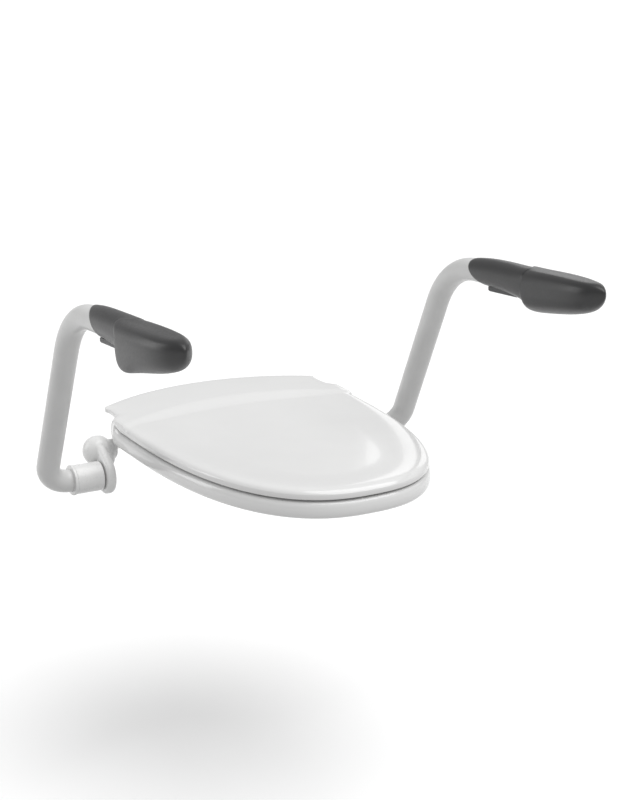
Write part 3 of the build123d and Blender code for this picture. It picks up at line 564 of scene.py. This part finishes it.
def build_seat():
    outline = seat_outline()
    normals = inward_normals(outline)
    opening, outwards = seat_opening(outline)
    rings = []

    def add_ring(flat, share):
        rise = seat_top(flat) - SEAT_BASE
        rings.append(np.column_stack((flat, SEAT_BASE + rise * share)))

    def add_rings_between(start, end, count, share):
        for part in np.linspace(0, 1, count)[1:-1]:
            add_ring(start + (end - start) * part, share)

    for inset, share in OUTER_EDGE:
        add_ring(outline + normals * inset * MM, share)
    top_inner = opening + outwards * INNER_EDGE[0][0] * MM
    add_rings_between(rings[-1][:, :2], top_inner, TOP_RINGS, 1.0)
    for outset, share in INNER_EDGE:
        add_ring(opening + outwards * outset * MM, share)
    add_rings_between(rings[-1][:, :2], rings[0][:, :2], BOTTOM_RINGS, 0.0)
    points = np.vstack(rings)
    around = len(outline)
    faces = strip_faces(len(rings), around) + bridge_faces(len(points) - around, 0, around)
    return make_piece("seat_moulding", points, faces, "seat_white", sharp=60)


seat = build_seat()
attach(seat, "seat")
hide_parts("seat_ring")


# ---- hinge arms ---------------------------------------------------------------------------
def hinge_arm(name, body, centre_x, profile):
    """A hinge arm cut from a side profile (y, z), with a bore for the bush and soft edges."""
    curve = bpy.data.curves.new(name + "_profile", "CURVE")
    curve.dimensions = "2D"
    curve.fill_mode = "BOTH"
    for line in (profile, arc(HINGE, BORE_RADIUS, 0, 345, 24)):
        spline = curve.splines.new("POLY")
        spline.points.add(len(line) - 1)
        for point, (y, z) in zip(spline.points, line):
            point.co = (y, z, 0, 1)
        spline.use_cyclic_u = True
    curve.extrude = ARM_WIDTH / 2 - ARM_EDGE
    curve.bevel_depth = ARM_EDGE
    curve.offset = -ARM_EDGE
    curve.bevel_resolution = 2
    holder = add_object(name + "_profile", curve)
    bpy.context.view_layer.update()
    mesh = bpy.data.meshes.new_from_object(holder.evaluated_get(bpy.context.evaluated_depsgraph_get()))
    bpy.data.objects.remove(holder)
    points = np.array([v.co for v in mesh.vertices])
    placed = np.column_stack((points[:, 2] + centre_x, points[:, 0], points[:, 1]))
    mesh.vertices.foreach_set("co", placed.astype(np.float32).ravel())
    mesh.update()
    finish_mesh(mesh, "seat_white", sharp=35)
    piece = add_object(name, mesh)
    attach(piece, body)


def in_mm(*points):
    return [(y * MM, z * MM) for y, z in points]


seat_arm_profile = (
    in_mm((-36, 19), (-16, 18.5), (0, 21.5), (18, 27))
    + arc(HINGE, KNUCKLE_RADIUS, -75, 100, 15)
    + in_mm((24, 46.6), (0, 42), (-16, 37.8), (-36, 36))
)
lid_arm_profile = (
    in_mm((26, 52), (31.5, 48)) + arc(HINGE, KNUCKLE_RADIUS, -190, 10, 16) + in_mm((48.5, 48), (54, 51))
)
for side_name, side in SIDES:
    hinge_arm(f"seat_hinge_arm_{side_name}", "seat", side * SEAT_ARM_X, seat_arm_profile)
    hinge_arm(f"lid_hinge_arm_{side_name}", "lid", side * LID_ARM_X, lid_arm_profile)

# ---- arm pads -----------------------------------------------------------------------------
# Each station: distance of the section in front of the shoulder along -Y, then how far the
# section reaches up, down, inwards and outwards of the tube axis, then how square its four
# corners are: top outer, top inner, bottom inner, bottom outer. All in millimetres.
PAD_STATIONS = (
    (90.9, 16.3, 16.3, 16.3, 16.3, 2, 2, 2, 2),
    (91.1, 17.2, 17.1, 17.1, 17.1, 2, 2, 2, 2),
    (91.9, 17.8, 17.6, 17.6, 17.6, 2, 2, 2, 2),
    (94.0, 18.2, 17.8, 17.8, 17.8, 2, 2, 2, 2),
    (104.0, 19.3, 18.2, 18.1, 18, 2, 2, 2, 2),
    (118.0, 20.6, 18.8, 18.5, 18.3, 2, 2, 2, 2),
    (133.0, 21, 19.6, 18.8, 18.6, 2.05, 2.05, 2, 2),
    (148.0, 20.9, 20.5, 19.1, 18.8, 2.1, 2.1, 2, 2),
    (163.0, 20.5, 21.8, 19.5, 19, 2.2, 2.2, 2.05, 2),
    (178.0, 20, 23.4, 19.9, 19.2, 2.3, 2.4, 2.1, 2),
    (190.0, 19.5, 25.4, 20.2, 19.5, 2.5, 2.6, 2.15, 2),
    (200.0, 19.4, 28.6, 20.4, 20, 2.6, 2.6, 2.15, 2.1),
    (201.6, 19.4, 30.4, 20.4, 21.2, 2.6, 2.6, 2.15, 2.4),
    (202.4, 19.4, 33.6, 20.4, 26.6, 2.7, 2.7, 2.2, 4.2),
    (203.4, 19.4, 36.2, 20.4, 28.2, 2.8, 2.8, 2.2, 9),
    (207.0, 19.4, 37.9, 20.5, 28.9, 2.8, 2.9, 2.25, 10),
    (219.0, 19.6, 38.5, 20.6, 29.3, 2.9, 3.1, 2.3, 8.5),
    (239.0, 19.8, 36.8, 20.6, 29.6, 3, 3.2, 2.35, 6),
    (259.0, 19.9, 34.8, 20.6, 29.4, 3, 3.2, 2.35, 3.4),
    (281.0, 19.5, 32.2, 20.5, 28.6, 3, 3.2, 2.3, 2.7),
    (301.0, 19, 29.2, 19.9, 26.9, 2.9, 3.1, 2.25, 2.4),
    (317.0, 18.3, 25.8, 18.2, 24, 2.8, 2.9, 2.2, 2.3),
    (330.0, 17.2, 21.8, 15.3, 20, 2.6, 2.7, 2.15, 2.2),
    (337.5, 15.4, 17.6, 11.4, 15.8, 2.5, 2.5, 2.1, 2.1),
    (344.0, 12.8, 13, 7, 11.6, 2.4, 2.4, 2.05, 2.05),
    (348.6, 9.9, 8, 2.4, 8, 2.3, 2.3, 2, 2),
    (351.6, 7, 3.2, -1, 5.4, 2.2, 2.2, 2, 2),
)
PAD_AROUND = 72
SHOULDER = (282.0, -170.0, 249.5)  # where the tube's axis turns forward to the pad, in millimetres
PAD_TILT = math.tan(math.radians(4.2))
DISH_MIDDLE = 7.0              # the hollow on top of the wide part, across the pad
DISH_HALF = 17.0
DISH_OF_PAD = 1.9
PAD_TIP_BULGE = 0.9 * MM
WIDE_FROM = (198, 230)         # the hollow comes in over this distance, and goes out over the next
WIDE_TO = (315, 343)
STEP_AT = 204.0                # where the wide front part begins, on its outer side
STEP_SPREAD = 34.0
STEP_INNER = (0, 12)           # the lean of the step fades out across the pad, towards the seat
STEP_LINE = 3.8                # the step's heights count from this far below the axis
STEP_HEIGHTS = (-36, -30, -22, -14, -4, 6, 14, 20, 26)
STEP_SHIFTS = (22.0, 13.0, 5.5, 3.0, 1.5, 0.0, -7.0, -14.0, -18.0)
REAR_SLANT_UP = 1.0            # the rear end runs back with height and towards the seat
REAR_SLANT_IN = 0.8
REAR_SLANT_REACH = (91.0, 166.0)


def pad_section(distance, up, down, inner, outer, corners):
    """One closed section of the pad: how far outwards, forwards and upwards its points lie."""
    turn = np.linspace(0, 2 * math.pi, PAD_AROUND, endpoint=False)
    cos, sin = np.cos(turn), np.sin(turn)
    top_outer, top_inner, bottom_inner, bottom_outer = corners
    power = np.where(
        sin >= 0, np.where(cos >= 0, top_outer, top_inner), np.where(cos >= 0, bottom_outer, bottom_inner)
    )
    out = (outer - inner) / 2 + (outer + inner) / 2 * np.sign(cos) * np.abs(cos) ** (2 / power)
    rise = (up - down) / 2 + (up + down) / 2 * np.sign(sin) * np.abs(sin) ** (2 / power)
    wide = smooth_step(*WIDE_FROM, distance) * (1 - smooth_step(*WIDE_TO, distance))
    dish = np.clip(1 - ((out - DISH_MIDDLE) / DISH_HALF) ** 2, 0, 1) * (sin > 0)
    rise = rise - DISH_OF_PAD * wide * dish
    near_step = np.exp(-((distance - STEP_AT) / STEP_SPREAD) ** 2) * smooth_step(*STEP_INNER, out)
    slanted = 1 - smooth_step(*REAR_SLANT_REACH, distance)
    forward = distance + near_step * np.interp(rise + STEP_LINE, STEP_HEIGHTS, STEP_SHIFTS)
    forward = forward - slanted * (REAR_SLANT_UP * rise - REAR_SLANT_IN * out)
    return out, forward, rise


def build_pad(side_name, side):
    """The foam skin of one pad, with its sections set out from the shoulder of the tube."""
    rings = []
    for distance, up, down, inner, outer, *corners in PAD_STATIONS:
        out, forward, rise = pad_section(distance, up, down, inner, outer, corners)
        x = side * (SHOULDER[0] + out)
        y = SHOULDER[1] - forward
        z = SHOULDER[2] + forward * PAD_TILT + rise
        rings.append(np.column_stack((x, y, z)))
    points = np.vstack(rings) * MM
    last = len(points) - PAD_AROUND
    tip = points[last:].mean(axis=0) - (0, PAD_TIP_BULGE, 0)
    back = points[:PAD_AROUND].mean(axis=0)
    tip_at, back_at = len(points), len(points) + 1
    points = np.vstack((points, tip, back))
    faces = strip_faces(len(rings), PAD_AROUND)
    faces += fan_faces(last, PAD_AROUND, tip_at) + flipped(fan_faces(0, PAD_AROUND, back_at))
    if side < 0:
        faces = flipped(faces)
    pad = make_piece(f"arm_pad_skin_{side_name}", points, faces, "pad_foam", sharp=70)
    smooth = pad.modifiers.new("smooth", "SUBSURF")
    smooth.levels = 1
    smooth.render_levels = 1
    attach(pad, f"arm_{side_name}")
    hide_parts(f"arm_pad_{side_name}")


for side_name, side in SIDES:
    build_pad(side_name, side)

# ---- pivot castings -----------------------------------------------------------------------
# Round masses that fill the corners of the casting: x, y, z and radius in millimetres.
CASTING_FILLS = ((192.0, -5.0, 0.0, 21.5), (186.0, -16.0, -10.0, 14.5), (179.0, -8.0, -4.0, 14.5))
CASTING_GRAIN = 0.8 * MM       # how finely the casting is divided before its edges are softened
CASTING_ROUNDS = 28            # how many times they are softened


def soften_casting(side_name, side):
    """The housing with the generous fillets of a casting, made from its exact shape."""
    source = frame["nodes"][f"pivot_housing_{side_name}"]
    casting = add_object(f"pivot_casting_{side_name}", source.data.copy())
    body = bmesh.new()
    body.from_mesh(casting.data)
    for x, y, z, radius in CASTING_FILLS:
        centre = Vector((side * x, y, z)) * MM
        bmesh.ops.create_uvsphere(
            body, u_segments=48, v_segments=24, radius=radius * MM, matrix=Matrix.Translation(centre)
        )
    body.to_mesh(casting.data)
    body.free()
    remesh = casting.modifiers.new("remesh", "REMESH")
    remesh.mode = "VOXEL"
    remesh.voxel_size = CASTING_GRAIN
    relax = casting.modifiers.new("relax", "SMOOTH")
    relax.factor = 0.5
    relax.iterations = CASTING_ROUNDS
    bpy.context.view_layer.update()
    graph = bpy.context.evaluated_depsgraph_get()
    mesh = bpy.data.meshes.new_from_object(casting.evaluated_get(graph))
    casting.modifiers.clear()
    casting.data = mesh
    finish_mesh(mesh, "fitting_white")
    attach(casting, "frame")
    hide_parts(f"pivot_housing_{side_name}")


for side_name, side in SIDES:
    soften_casting(side_name, side)

# ---- studio, in metres --------------------------------------------------------------------
FLOOR_DROP = 0.42              # the bowl rim stands this high above the floor
FLOOR_HALF = 60
CAMERA_AZIMUTH = math.radians(-28.586)
CAMERA_ELEVATION = math.radians(16.837)
CAMERA_DISTANCE = 2.4654
CAMERA_LENS = 81.35
AIM = Vector((0.05935, -0.2, 0.08952))
ROOM_STRENGTH = 0.56
SUN_ENERGY = 2.0
SUN_ANGLE = math.radians(60)
SUN_HEADING = Vector((-0.3, 0.3, -1))
# Cards of light: name, place, the point each faces, its size, its power, and whether it lights
# matt surfaces as well as giving reflections.
CARDS = (
    ("side_card", (2.6, 2.4, 1.2), (0.05, -0.15, 0.05), (1.7, 1.2), 5, False),
    ("rear_left_card", (-2.2, 1.6, 0.9), (-0.2, -0.1, 0.1), (1.2, 1.6), 14, True),
)


def turn_to(thing, heading):
    thing.rotation_mode = "QUATERNION"
    thing.rotation_quaternion = heading.to_track_quat("-Z", "Y")


def build_floor():
    """A wide white floor that sends no light back up at the object."""
    mesh = bpy.data.meshes.new("floor")
    square = ((-1, -1), (1, -1), (1, 1), (-1, 1))
    corners = [(FLOOR_HALF * x, FLOOR_HALF * y, -FLOOR_DROP) for x, y in square]
    mesh.from_pydata(corners, [], [(0, 1, 2, 3)])
    floor = add_object("floor", mesh)
    floor.visible_diffuse = False
    material, shader = new_material("floor_white", (0.96, 0.96, 0.96), 0.9)
    shader.inputs["Specular IOR Level"].default_value = 0.0
    mesh.materials.append(material)


def build_light():
    """An evenly white room, a broad top light from the front right and two cards behind the seat."""
    world = bpy.data.worlds.new("studio")
    bpy.context.scene.world = world
    world.use_nodes = True
    background = world.node_tree.nodes["Background"]
    background.inputs["Color"].default_value = (1, 1, 1, 1)
    background.inputs["Strength"].default_value = ROOM_STRENGTH
    sun = bpy.data.lights.new("top_light", "SUN")
    sun.energy = SUN_ENERGY
    sun.angle = SUN_ANGLE
    turn_to(add_object("top_light", sun), SUN_HEADING)
    for name, place, faces, size, power, lights_matt in CARDS:
        card = bpy.data.lights.new(name, "AREA")
        card.shape = "RECTANGLE"
        card.size, card.size_y = size
        card.energy = power
        lamp = add_object(name, card)
        lamp.location = place
        turn_to(lamp, Vector(faces) - Vector(place))
        lamp.visible_diffuse = lights_matt
        lamp.visible_camera = False


def build_camera():
    level = math.cos(CAMERA_ELEVATION)
    back = Vector((
        math.sin(CAMERA_AZIMUTH) * level, -math.cos(CAMERA_AZIMUTH) * level, math.sin(CAMERA_ELEVATION)
    ))
    data = bpy.data.cameras.new("camera")
    data.lens = CAMERA_LENS
    data.sensor_width = 36
    data.clip_end = 200
    camera = add_object("camera", data)
    camera.location = AIM + back * CAMERA_DISTANCE
    turn_to(camera, -back)
    bpy.context.scene.camera = camera


build_floor()
build_light()
build_camera()
bpy.context.scene.view_settings.view_transform = "Standard"
